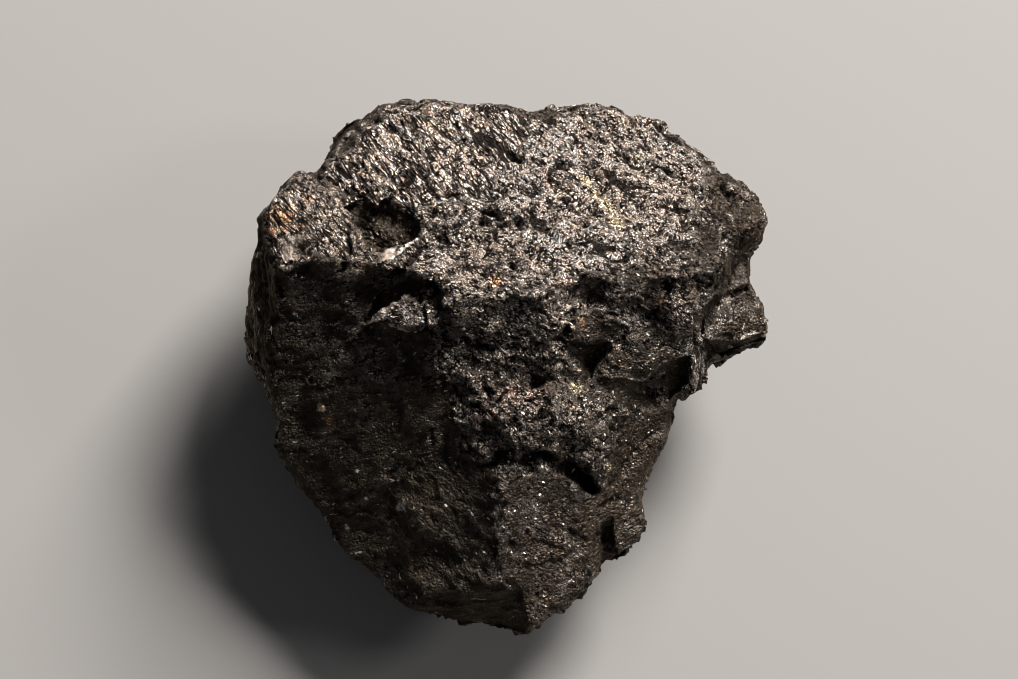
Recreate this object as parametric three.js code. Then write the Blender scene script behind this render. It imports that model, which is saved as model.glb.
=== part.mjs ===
// A hand specimen of sphalerite: one dark, blocky crystal mass, lying on its broken back.
// Millimetres, +Z up. The crystal faces look up, and the flat of the back rests at z = 0.
//
// The mass is described by its outline in plan, by the planes of its large crystal faces, and by
// the steps, ledges, lumps, pits and grooves on them. Together they make one solid, which is
// meshed, simplified and centred over its base.

import * as THREE from 'three';
import { ImprovedNoise } from 'three/addons/math/ImprovedNoise.js';
import { SimplifyModifier } from 'three/addons/modifiers/SimplifyModifier.js';
import { mergeVertices } from 'three/addons/utils/BufferGeometryUtils.js';

const TRIANGLES = 9700;
const CELL = 1.05; // meshing step
const HALF_SPAN = 42.5; // the meshing box holds the whole mass with room around it
const FLOOR = - 2.5;
const CEILING = 47.5;

// The mass in plan, clockwise from the left end of its bright upper face. 80 mm wide.
const OUTLINE = [
	[ - 37.6, 18.5 ], [ - 36.8, 22.7 ], [ - 34.1, 26.5 ], [ - 31.1, 28.5 ], [ - 28.3, 28.3 ],
	[ - 27.0, 30.6 ], [ - 26.5, 35.3 ], [ - 24.2, 37.0 ], [ - 21.7, 37.4 ], [ - 18.9, 39.1 ],
	[ - 12.4, 39.8 ], [ - 4.5, 39.7 ], [ - 0.2, 40.1 ], [ 1.8, 38.3 ], [ 3.3, 38.0 ],
	[ 6.8, 38.6 ], [ 12.1, 39.7 ], [ 14.4, 39.7 ], [ 18.2, 38.0 ], [ 20.5, 37.9 ],
	[ 25.3, 35.3 ], [ 29.5, 31.5 ], [ 34.1, 28.2 ], [ 35.6, 28.0 ], [ 38.6, 25.0 ],
	[ 39.7, 20.8 ], [ 38.6, 18.0 ], [ 36.8, 17.1 ], [ 37.0, 14.1 ], [ 38.6, 9.8 ],
	[ 39.5, 6.8 ], [ 40.0, 4.5 ], [ 39.5, 3.5 ], [ 35.6, 2.3 ], [ 32.6, 0.8 ],
	[ 30.6, - 0.5 ], [ 30.8, - 2.6 ], [ 28.5, - 4.8 ], [ 25.3, - 5.5 ], [ 26.2, - 8.0 ],
	[ 24.2, - 12.4 ], [ 22.0, - 17.1 ], [ 20.9, - 18.8 ], [ 21.5, - 25.0 ], [ 20.5, - 27.3 ],
	[ 14.4, - 31.5 ], [ 12.1, - 34.4 ], [ 10.6, - 37.0 ], [ 5.3, - 39.2 ], [ 2.7, - 41.0 ],
	[ - 1.5, - 39.5 ], [ - 5.3, - 38.8 ], [ - 9.1, - 37.7 ], [ - 15.6, - 36.2 ], [ - 18.8, - 35.3 ],
	[ - 20.0, - 33.2 ], [ - 23.5, - 29.8 ], [ - 26.5, - 25.5 ], [ - 31.1, - 19.2 ], [ - 32.6, - 16.4 ],
	[ - 35.3, - 12.6 ], [ - 34.5, - 8.3 ], [ - 36.1, - 4.8 ], [ - 36.4, - 2.0 ], [ - 39.5, 2.7 ],
	[ - 40.0, 6.1 ], [ - 40.1, 9.8 ], [ - 38.9, 15.6 ],
];

// A crystal face: the height of its plane at one point, and how that height rises along X and Y.
const face = ( [ x0, y0, z0 ], riseX, riseY ) => ( x, y ) => z0 + riseX * ( x - x0 ) + riseY * ( y - y0 );

// The upper faces point at the apex, which the crown face cuts off. Of the large faces, the lowest rules.
const APEX = [ - 0.8, 10.6, 42 ];
const LARGE_FACES = {
	upperLeft: face( APEX, 0.18, - 0.60 ),
	upperRight: face( APEX, - 0.18, - 0.60 ),
	crown: face( [ 0, 10.6, 39.4 ], - 0.09, - 0.28 ),
	lowerLeft: face( [ 0, 0, 37.2 ], 0.40, 0.42 ),
	right: face( [ 22, 4, 31 ], - 0.25, 0.42 ),
	leftSide: face( [ - 40, 8, 17 ], 2.0, 0.10 ),
	footSide: face( [ - 9, - 35.6, 18.5 ], 0.20, 1.6 ),
	footRightSide: face( [ 17.7, - 29.0, 15 ], - 0.80, 1.2 ),
	headSide: face( [ 5, 38, 24.5 ], - 0.12, - 1.8 ),
};

const lowerRight = face( [ - 0.6, - 25, 26.2 ], - 0.42, 0.42 );
const lowerStorey = ( x, y ) => Math.min( LARGE_FACES.lowerLeft( x, y ), lowerRight( x, y ) );

const blockTop = face( [ - 0.8, 10.6, 39.9 ], 0.04, - 0.08 );
const blockFront = face( [ 0, 9.4, 39.8 ], - 0.08, 0.58 );
const block = ( x, y ) => Math.min( blockTop( x, y ), blockFront( x, y ) );

// Smaller faces inside outlines of their own, each one with a short slope at its edge. A sunk face
// cuts the mass down to its plane, a raised one builds it up, and a level one does both.
const SUNK = Math.min;
const RAISED = Math.max;
const LEVEL = ( z, own ) => own;
const SMALL_FACES = [
	{ // the lower storey below the brow, where the left face ends in a sharp ridge
		way: LEVEL, plane: lowerStorey, edge: 1.2,
		outline: [ [ - 7, - 13.4 ], [ 1, - 13.8 ], [ 8.3, - 14.8 ], [ 12.6, - 17.6 ], [ 15.0, - 20.4 ],
			[ 14.8, - 25.0 ], [ 15.3, - 32.0 ], [ 14.0, - 36.0 ], [ 10.6, - 40.0 ], [ 3.0, - 44.0 ],
			[ 2.6, - 36.6 ], [ 1.4, - 34.6 ], [ - 7, - 35.0 ] ],
	},
	{ // the smooth strip that falls away to the lower right, with the corner block below it
		way: SUNK, plane: face( [ 20, - 9, 23.5 ], - 0.72, 0.46 ), edge: 1.6,
		outline: [ [ 14.8, - 25.0 ], [ 15.0, - 20.2 ], [ 14.2, - 12.0 ], [ 15.4, - 6.4 ], [ 17.6, - 3.0 ],
			[ 20.5, - 2.2 ], [ 23.8, - 0.5 ], [ 27.2, 1.8 ], [ 32.6, 3.2 ], [ 48, 3 ], [ 48, - 50 ],
			[ 15.3, - 50 ] ],
	},
	{ // the smooth steep face under the right-hand knob
		way: SUNK, plane: face( [ 35.6, 14, 22 ], - 0.45, 0.30 ), edge: 0.8,
		outline: [ [ 33.6, 16.9 ], [ 36.6, 17.6 ], [ 48, 17.4 ], [ 48, 11 ], [ 37.4, 11.2 ], [ 32.8, 9.6 ] ],
	},
	{ // the blunt block that stands out to the right
		way: SUNK, plane: face( [ 34.8, 6.8, 23.0 ], - 0.25, 0.25 ), edge: 0.8,
		outline: [ [ 29.2, 7.4 ], [ 32.8, 9.8 ], [ 37.4, 11.4 ], [ 48, 12 ], [ 48, 0 ], [ 29.6, 0 ] ],
	},
	{ // its dark underside
		way: SUNK, plane: face( [ 34.8, 3.9, 22.2 ], - 0.25, 2.4 ), edge: 0.6,
		outline: [ [ 29.6, 4.4 ], [ 35.4, 3.8 ], [ 40.6, 4.6 ], [ 48, 4.6 ], [ 48, - 2 ], [ 31.4, - 1 ] ],
	},
	{ // the small block below it
		way: RAISED, plane: face( [ 28.6, - 1.1, 23.4 ], - 0.55, 0.10 ), edge: 0.8,
		outline: [ [ 26.8, 2.0 ], [ 30.4, 2.6 ], [ 31.6, - 2.8 ], [ 28.6, - 5.4 ], [ 26.2, - 4.4 ] ],
	},
	{ // the dark striated shoulder at the upper left, below the edge of the bright face
		way: SUNK, plane: face( [ - 24.5, 34.1, 19.5 ], 0.35, - 0.20 ), edge: 1.0,
		outline: [ [ - 28.0, 29.6 ], [ - 26.4, 31.0 ], [ - 23.4, 34.6 ], [ - 20.0, 38.4 ],
			[ - 24, 42 ], [ - 30, 40 ] ],
	},
	{ // the block on the apex, whose dark front falls to the valley
		way: RAISED, plane: block, edge: 1.2,
		outline: [ [ - 9.8, 9.8 ], [ - 8.8, 13.6 ], [ - 4.5, 15.6 ], [ 2.3, 15.2 ], [ 7.6, 12.1 ],
			[ 8.0, 6.0 ], [ 5.4, 1.6 ], [ 0, 0.4 ], [ - 6.8, 3.2 ], [ - 8.6, 7.0 ] ],
	},
	{ // the flank of the right-hand knob
		way: SUNK, plane: face( [ 31, 17.2, 32.3 ], - 0.75, 0.55 ), edge: 1.2,
		outline: [ [ 29.0, 15.0 ], [ 33.0, 20.4 ], [ 38.6, 25.6 ], [ 48, 25 ], [ 48, 17.2 ],
			[ 36.6, 17.2 ], [ 33.6, 16.4 ] ],
	},
	{ // the bright ledge left of the valley
		way: RAISED, plane: face( [ - 13.6, 7.9, 36.6 ], 0.16, - 0.08 ), edge: 0.9,
		outline: [ [ - 18.5, 8.0 ], [ - 14.1, 10.2 ], [ - 9.1, 9.4 ], [ - 9.8, 6.5 ],
			[ - 15.9, 5.3 ], [ - 18.0, 6.0 ] ],
	},
	{ // the three-cornered pit right of the valley
		way: SUNK, plane: face( [ 12.4, 1.2, 28.8 ], - 0.20, 0.10 ), edge: 1.4,
		outline: [ [ 9.0, 3.2 ], [ 15.4, 2.8 ], [ 13.0, - 2.2 ] ],
	},
	{ // the cleaved corner at the left end of the bright face
		way: LEVEL, plane: face( [ - 31.4, 17.6, 30.2 ], 0.20, 0.10 ), edge: 1.0,
		outline: [ [ - 33.6, 19.6 ], [ - 29.6, 20.2 ], [ - 29.0, 16.4 ], [ - 33.8, 15.8 ] ],
	},
	{ // a split slab near the head
		way: RAISED, plane: face( [ - 8.9, 28.6, 30.6 ], 0.05, - 0.45 ), edge: 0.8,
		outline: [ [ - 11.4, 30.2 ], [ - 6.6, 30.6 ], [ - 6.2, 27.2 ], [ - 10.6, 26.8 ] ],
	},
];

// Rounded lumps (height above zero) and pits (below zero): centre, radii, turn in degrees. Each one
// has its full height over this share of its radii.
const LUMP_CORE = 0.25;
const LUMPS = [
	{ at: [ 3.6, - 8.0 ], radii: [ 10.0, 5.6 ], turn: - 6, height: 1.5 }, // the brow
	{ at: [ 4.8, - 12.2 ], radii: [ 9.0, 4.4 ], turn: - 8, height: 1.4 }, // its front
	{ at: [ 12.4, - 12.4 ], radii: [ 5.2, 6.6 ], turn: 20, height: 1.4 }, // its right shoulder
	{ at: [ - 11.7, - 23.2 ], radii: [ 5.4, 6.8 ], turn: - 20, height: 1.1 },
	{ at: [ - 24.5, - 2.0 ], radii: [ 7.5, 5.5 ], turn: 25, height: 0.6 },
	{ at: [ - 21.5, - 16.5 ], radii: [ 8.0, 5.0 ], turn: 35, height: 0.5 },
	{ at: [ 37.0, 22.0 ], radii: [ 5.0, 4.2 ], turn: - 20, height: 0.9 }, // the knob
	{ at: [ 26.5, 7.5 ], radii: [ 7.0, 5.5 ], turn: - 30, height: 1.4 },
	{ at: [ 20.0, 22.5 ], radii: [ 8.0, 5.0 ], turn: - 15, height: 1.0 },
	{ at: [ - 26.5, 22.5 ], radii: [ 5.5, 4.0 ], turn: - 50, height: 1.0 },
	{ at: [ - 5.0, 25.5 ], radii: [ 6.0, 3.6 ], turn: - 35, height: 0.8 },
	{ at: [ - 17.4, 20.6 ], radii: [ 6.2, 4.2 ], turn: - 28, height: - 4.6 }, // the large pit
	{ at: [ - 22.2, 24.0 ], radii: [ 2.6, 1.8 ], turn: - 40, height: - 1.8 },
	{ at: [ - 17.7, 24.1 ], radii: [ 1.5, 1.5 ], turn: 0, height: - 1.6 },
	{ at: [ - 18.6, 11.4 ], radii: [ 5.0, 3.8 ], turn: 10, height: - 2.6 },
	{ at: [ 12.4, 10.4 ], radii: [ 2.9, 3.2 ], turn: 0, height: - 3.4 },
	{ at: [ 22.7, 11.1 ], radii: [ 2.6, 1.9 ], turn: 20, height: - 2.4 },
	{ at: [ 19.6, 8.6 ], radii: [ 3.0, 1.5 ], turn: 15, height: - 1.6 },
	{ at: [ 14.4, 6.2 ], radii: [ 3.6, 2.4 ], turn: - 10, height: - 1.2 },
	{ at: [ 21.4, - 3.8 ], radii: [ 5.0, 2.8 ], turn: - 20, height: - 3.0 }, // under the right face
	{ at: [ 4.6, - 2.4 ], radii: [ 2.8, 1.6 ], turn: 0, height: - 1.3 },
	{ at: [ - 2.2, 2.6 ], radii: [ 2.2, 1.6 ], turn: 0, height: - 1.5 },
	{ at: [ 12.6, - 18.0 ], radii: [ 3.0, 2.0 ], turn: - 40, height: - 2.4 },
	{ at: [ 1.1, 14.5 ], radii: [ 1.6, 1.2 ], turn: 0, height: - 1.8 },
	{ at: [ 1.5, 31.2 ], radii: [ 2.2, 1.6 ], turn: - 45, height: - 1.6 },
	{ at: [ 11.4, 21.0 ], radii: [ 2.2, 1.3 ], turn: - 20, height: - 1.4 },
	{ at: [ 7.2, 22.6 ], radii: [ 2.0, 1.2 ], turn: - 30, height: - 1.2 },
	{ at: [ 19.0, 36.2 ], radii: [ 1.9, 1.4 ], turn: - 30, height: - 1.6 },
	{ at: [ 23.8, 32.8 ], radii: [ 2.2, 1.4 ], turn: - 40, height: - 1.6 },
	{ at: [ 33.6, 25.8 ], radii: [ 2.8, 1.3 ], turn: - 35, height: - 1.5 },
	{ at: [ - 30.0, - 8.5 ], radii: [ 3.6, 2.6 ], turn: 40, height: - 1.0 },
];

// Grooves (depth below zero) and ribs (above zero) along a line.
const GROOVES = [
	{ path: [ [ - 6, 0.6 ], [ 0, - 0.6 ], [ 5.3, - 2.2 ], [ 10.6, - 1.6 ], [ 15, - 3.2 ] ],
		width: 2.4, height: - 1.2 }, // the valley
	{ path: [ [ - 18.2, 14.7 ], [ - 15.4, 16.2 ], [ - 12.9, 18.6 ] ], width: 1.8, height: 1.6 },
	{ path: [ [ 29.4, 7.2 ], [ 29.7, 3.0 ] ], width: 1.2, height: - 3.2 },
	{ path: [ [ 29.2, 7.6 ], [ 32.8, 9.8 ], [ 38, 11.6 ] ], width: 0.9, height: - 1.2 },
	{ path: [ [ 14.8, - 25.4 ], [ 15.3, - 32.5 ] ], width: 1.6, height: - 5.0 },
	{ path: [ [ - 28.0, 28.0 ], [ - 25.0, 22.8 ], [ - 23.6, 16.0 ] ], width: 1.3, height: - 1.2 },
	{ path: [ [ - 3.8, 21.2 ], [ 0.8, 20.6 ], [ 6.0, 20.4 ] ], width: 1.3, height: - 1.8 },
	{ path: [ [ - 16.4, - 4.5 ], [ - 16.4, - 9.1 ] ], width: 1.2, height: - 1.2 },
	{ path: [ [ - 8.8, - 9.6 ], [ - 8.8, - 14.6 ] ], width: 1.2, height: - 1.4 },
	{ path: [ [ - 13.9, 0.8 ], [ - 13.9, - 2.2 ] ], width: 1.1, height: - 1.0 },
	{ path: [ [ - 35.6, 14.4 ], [ - 36.0, 7.0 ] ], width: 1.2, height: - 1.5 },
	{ path: [ [ - 38.0, 12.0 ], [ - 38.4, 2.0 ] ], width: 1.0, height: - 1.0 },
	{ path: [ [ 16.0, 28.0 ], [ 21.0, 25.5 ], [ 27.0, 25.0 ] ], width: 1.3, height: - 1.0 },
	{ path: [ [ - 20.0, 33.5 ], [ - 14.5, 25.5 ] ], width: 1.2, height: - 0.9 },
	{ path: [ [ - 24.6, 31.0 ], [ - 20.6, 24.8 ] ], width: 1.2, height: - 0.8 },
	{ path: [ [ 15.8, - 19.4 ], [ 18.6, - 13.6 ], [ 22.4, - 10.0 ] ], width: 1.0, height: - 0.8 },
];

// Where the roughness is slighter, on the smoother faces, each one as a centre, radii and turn.
const CALM_SHARE = 0.75;
const CALM = [
	{ at: [ - 19, - 10 ], radii: [ 30, 21 ], turn: - 45 },
	{ at: [ 6, - 27 ], radii: [ 11, 14 ], turn: 0 },
	{ at: [ 21, - 14 ], radii: [ 8, 14 ], turn: - 15 },
	{ at: [ 36, 11 ], radii: [ 8, 9 ], turn: 0 },
];

// The underside: facets of the broken back, each one starting at a distance from the middle of
// the flat base and rising from there towards the widest part of the mass.
const BASE_MIDDLE = [ - 1.5, 4.0 ];
const BACK_FACETS = [
	{ towards: 8, reach: 23, rise: 0.85 },
	{ towards: 52, reach: 22, rise: 0.80 },
	{ towards: 98, reach: 21, rise: 0.95 },
	{ towards: 142, reach: 22, rise: 1.15 },
	{ towards: 186, reach: 23, rise: 0.90 },
	{ towards: 232, reach: 24, rise: 0.72 },
	{ towards: 276, reach: 29, rise: 0.52 },
	{ towards: 318, reach: 20, rise: 0.85 },
];
const RIM_SHARE = 0.60; // the mass is widest at this share of the height above it
const LEAN_ABOVE = 0.07; // how much its sides lean in above and below that, per millimetre
const LEAN_BELOW = 0.30;

// Roughness all over: broad waves, then hummocks, then grain, as [ size, height ].
const WAVES = [ 16, 0.8 ], HUMMOCKS = [ 5.2, 1.2 ], GRAIN = [ 2.7, 0.8 ];
const FLAT_ZONE = 2.5; // the roughness fades out over this height above the base

const radians = THREE.MathUtils.degToRad;
const { smoothstep, lerp } = THREE.MathUtils;
const noise = new ImprovedNoise();

function distanceToSegment( x, y, [ ax, ay ], [ bx, by ] ) {

	const dx = bx - ax, dy = by - ay;
	const share = THREE.MathUtils.clamp( ( ( x - ax ) * dx + ( y - ay ) * dy ) / ( dx * dx + dy * dy ), 0, 1 );
	return Math.hypot( x - ax - share * dx, y - ay - share * dy );

}

// Distance to a closed outline, below zero inside it.
function distanceToOutline( x, y, outline ) {

	let nearest = Infinity, inside = false;
	outline.forEach( ( a, i ) => {

		const b = outline[ ( i + 1 ) % outline.length ];
		nearest = Math.min( nearest, distanceToSegment( x, y, a, b ) );
		if ( ( a[ 1 ] > y ) !== ( b[ 1 ] > y )
			&& x < a[ 0 ] + ( y - a[ 1 ] ) / ( b[ 1 ] - a[ 1 ] ) * ( b[ 0 ] - a[ 0 ] ) ) inside = ! inside;

	} );
	return inside ? - nearest : nearest;

}

function distanceToPath( x, y, path ) {

	let nearest = Infinity;
	for ( let i = 1; i < path.length; i ++ ) {

		nearest = Math.min( nearest, distanceToSegment( x, y, path[ i - 1 ], path[ i ] ) );

	}

	return nearest;

}

// How strongly a lump acts at a point: 1 in its middle, 0 from its edge outwards.
function lumpShare( x, y, { at, radii, turn } ) {

	const c = Math.cos( radians( turn ) ), s = Math.sin( radians( turn ) );
	const u = ( ( x - at[ 0 ] ) * c + ( y - at[ 1 ] ) * s ) / radii[ 0 ];
	const v = ( ( y - at[ 1 ] ) * c - ( x - at[ 0 ] ) * s ) / radii[ 1 ];
	return 1 - smoothstep( Math.hypot( u, v ), LUMP_CORE, 1 );

}

// The height of the crystal faces over a point in plan.
function faceHeight( x, y ) {

	let z = Math.min( ...Object.values( LARGE_FACES ).map( ( plane ) => plane( x, y ) ) );
	for ( const { way, plane, edge, outline } of SMALL_FACES ) {

		const share = 1 - smoothstep( distanceToOutline( x, y, outline ), - edge / 2, edge / 2 );
		z = lerp( z, way( z, plane( x, y ) ), share );

	}

	for ( const lump of LUMPS ) z += lump.height * lumpShare( x, y, lump );
	for ( const { path, width, height } of GROOVES ) {

		z += height * ( 1 - smoothstep( distanceToPath( x, y, path ), 0, width ) );

	}

	return z;

}

function roughness( x, y, z ) {

	let sum = 0;
	[ WAVES, HUMMOCKS, GRAIN ].forEach( ( [ size, height ], i ) => {

		sum += height * noise.noise( x / size + 7 * i, y / size + 3 * i, z / size + 5 * i );

	} );
	return sum;

}

// How far the sides lean in from the outline at a height.
function lean( z, faceZ ) {

	const above = z - RIM_SHARE * faceZ;
	return above > 0 ? LEAN_ABOVE * above : - LEAN_BELOW * above;

}

function backDepth( x, y, z ) {

	return Math.max( ...BACK_FACETS.map( ( { towards, reach, rise } ) => {

		const out = ( x - BASE_MIDDLE[ 0 ] ) * Math.cos( radians( towards ) )
			+ ( y - BASE_MIDDLE[ 1 ] ) * Math.sin( radians( towards ) );
		return ( rise * ( out - reach ) - z ) / Math.hypot( 1, rise );

	} ) );

}

// The solid: below zero inside the mass, above zero outside it.
function makeField( x, y ) {

	const faceZ = faceHeight( x, y ), outside = distanceToOutline( x, y, OUTLINE );
	const rough = 1 - CALM_SHARE * Math.max( ...CALM.map( ( zone ) => lumpShare( x, y, zone ) ) );
	return ( z ) => {

		const skin = Math.max( z - faceZ, outside + lean( z, faceZ ), backDepth( x, y, z ) );
		return Math.max( skin + rough * roughness( x, y, z ) * smoothstep( z, 0, FLAT_ZONE ), - z );

	};

}

// A box of samples of the field, one every CELL.
function sampleField() {

	const low = new THREE.Vector3( - HALF_SPAN, - HALF_SPAN, FLOOR );
	const high = new THREE.Vector3( HALF_SPAN, HALF_SPAN, CEILING );
	const count = high.sub( low ).divideScalar( CELL ).ceil().toArray().map( ( n ) => n + 1 );
	const [ nx, ny, nz ] = count;
	const values = new Float32Array( nx * ny * nz );
	for ( let i = 0; i < nx; i ++ ) {

		for ( let j = 0; j < ny; j ++ ) {

			const field = makeField( low.x + i * CELL, low.y + j * CELL );
			for ( let k = 0; k < nz; k ++ ) values[ i + nx * ( j + ny * k ) ] = field( low.z + k * CELL );

		}

	}

	return { low, count, values };

}

// The corners of a cell, each one by its place in it, and the pairs of corners that an edge joins.
const CORNERS = [ 0, 1, 2, 3, 4, 5, 6, 7 ]
	.map( ( n ) => new THREE.Vector3( n & 1, ( n >> 1 ) & 1, n >> 2 ) );
const CELL_EDGES = [ 1, 2, 4 ].flatMap( ( bit ) => CORNERS.map( ( _, a ) => [ a, a | bit ] ) )
	.filter( ( [ a, b ] ) => a !== b );
const PASSES = 4; // along the cell's edges, enough to reach each corner from each other one

function forEachCell( [ nx, ny, nz ], visit ) {

	for ( let k = 0; k < nz - 1; k ++ ) {

		for ( let j = 0; j < ny - 1; j ++ ) {

			for ( let i = 0; i < nx - 1; i ++ ) visit( i + nx * ( j + ny * k ), new THREE.Vector3( i, j, k ) );

		}

	}

}

// Whether the corners on each side of the surface hang together, so that one sheet crosses the cell.
function hasOneSheet( inside ) {

	const group = CORNERS.map( ( _, n ) => n );
	for ( let pass = 0; pass < PASSES; pass ++ ) {

		for ( const [ a, b ] of CELL_EDGES ) {

			if ( inside[ a ] === inside[ b ] ) group[ a ] = group[ b ] = Math.min( group[ a ], group[ b ] );

		}

	}

	return new Set( group ).size <= 2;

}

// Fills the cells that two sheets of the surface would share, until none is left.
function fillDoubleCells( { count, values }, offsets ) {

	const barelyInside = - 0.05 * CELL;
	let filled = true;
	while ( filled ) {

		filled = false;
		forEachCell( count, ( at ) => {

			if ( hasOneSheet( offsets.map( ( offset ) => values[ at + offset ] < 0 ) ) ) return;
			for ( const offset of offsets ) values[ at + offset ] = Math.min( values[ at + offset ], barelyInside );
			filled = true;

		} );

	}

}

// Meshes the samples: a vertex in each cell that the surface crosses, at the mean of the
// crossings on the cell's edges, and two triangles around each sample edge that it crosses.
function meshSamples( samples ) {

	const { low, count, values } = samples;
	const stride = new THREE.Vector3( 1, count[ 0 ], count[ 0 ] * count[ 1 ] );
	const offsets = CORNERS.map( ( corner ) => corner.dot( stride ) );
	fillDoubleCells( samples, offsets );

	const positions = [], vertexOf = new Map();
	forEachCell( count, ( at, place ) => {

		const isInside = ( corner ) => values[ at + offsets[ corner ] ] < 0;
		const crossed = CELL_EDGES.filter( ( [ a, b ] ) => isInside( a ) !== isInside( b ) );
		if ( crossed.length === 0 ) return;
		const mean = new THREE.Vector3();
		for ( const [ a, b ] of crossed ) {

			const from = values[ at + offsets[ a ] ], to = values[ at + offsets[ b ] ];
			const crossing = CORNERS[ a ].clone().lerp( CORNERS[ b ], from / ( from - to ) );
			mean.addScaledVector( crossing, 1 / crossed.length );

		}

		vertexOf.set( at, positions.length / 3 );
		positions.push( ...mean.add( place ).multiplyScalar( CELL ).add( low ) );

	} );

	const triangles = [], strides = stride.toArray();
	for ( const at of vertexOf.keys() ) {

		for ( const axis of [ 0, 1, 2 ] ) {

			const u = strides[ ( axis + 1 ) % 3 ], v = strides[ ( axis + 2 ) % 3 ];
			const leaves = values[ at ] < 0, enters = values[ at + strides[ axis ] ] < 0;
			if ( leaves === enters ) continue;
			const [ a, b, c, d ] = [ at, at - u, at - u - v, at - v ].map( ( cell ) => vertexOf.get( cell ) );
			triangles.push( ...( enters ? [ a, c, b, a, d, c ] : [ a, b, c, a, c, d ] ) );

		}

	}

	const geometry = new THREE.BufferGeometry();
	geometry.setAttribute( 'position', new THREE.Float32BufferAttribute( positions, 3 ) );
	geometry.setIndex( triangles );
	return geometry;

}

async function makeSpecimen() {

	const fine = meshSamples( sampleField() );
	const spare = Math.round( ( fine.index.count / 3 - TRIANGLES ) / 2 );
	const geometry = mergeVertices( await new SimplifyModifier().modify( fine, spare ) );

	geometry.computeBoundingBox();
	const middle = geometry.boundingBox.getCenter( new THREE.Vector3() );
	geometry.translate( - middle.x, - middle.y, - geometry.boundingBox.min.z );
	geometry.computeVertexNormals();

	const sphalerite = new THREE.MeshStandardMaterial( {
		color: 0x3a322e, roughness: 0.45, flatShading: true,
	} );
	const mesh = new THREE.Mesh( geometry, sphalerite );
	mesh.name = 'sphalerite_crystal';
	return mesh;

}

const specimen = new THREE.Group();
specimen.add( await makeSpecimen() );

export default specimen;
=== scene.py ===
"""The looks of the sphalerite specimen: its fine etched surface, its finish and the studio.

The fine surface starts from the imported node's own mesh. That is remeshed, crisp facets are cut into
it, and its points are then moved along their normals by the grain, cracks and marks of each zone.
Lengths are millimetres and angles degrees. The tables share one frame, with X to the right, Y
towards the specimen's head and Z out of its crystal faces. MM turns millimetres into metres.
"""

import math

import bmesh
import bpy
import numpy as np
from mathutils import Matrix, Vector


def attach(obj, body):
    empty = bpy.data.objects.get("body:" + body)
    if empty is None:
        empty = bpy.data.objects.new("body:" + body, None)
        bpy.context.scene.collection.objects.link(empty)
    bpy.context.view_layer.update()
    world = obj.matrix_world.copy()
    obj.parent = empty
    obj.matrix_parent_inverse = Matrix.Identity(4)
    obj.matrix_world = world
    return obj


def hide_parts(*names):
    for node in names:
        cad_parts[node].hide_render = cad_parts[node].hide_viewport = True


MM = 0.001
NODE = "sphalerite_crystal"
TABLE_ORIGIN = (-0.04, 0.46, 0.0)  # where the origin of the tables lies in the row frame

# The fine mesh. A range holds the values at which a smooth step starts and ends.
WELD = 0.005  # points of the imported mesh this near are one
VOXEL = 0.74  # size of the remeshed faces, before those that look up are halved
UP_FACING = -0.10  # the least upward share of a normal whose face is halved
BASE_SMOOTHING = 2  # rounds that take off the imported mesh's own edges
CALM_SMOOTHING = 10  # further rounds where the relief is low
CALM_RANGE = (0.12, 0.24)  # reliefs over which those further rounds fade out
BLEND_SMOOTHING = 6  # rounds that blend relief and frost from zone to zone
RESTING = 0.02  # points below this height are on the resting face, and aren't smoothed
BASE_RANGE = (0.05, 2.0)  # heights over which the relief grows from the resting face

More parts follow.
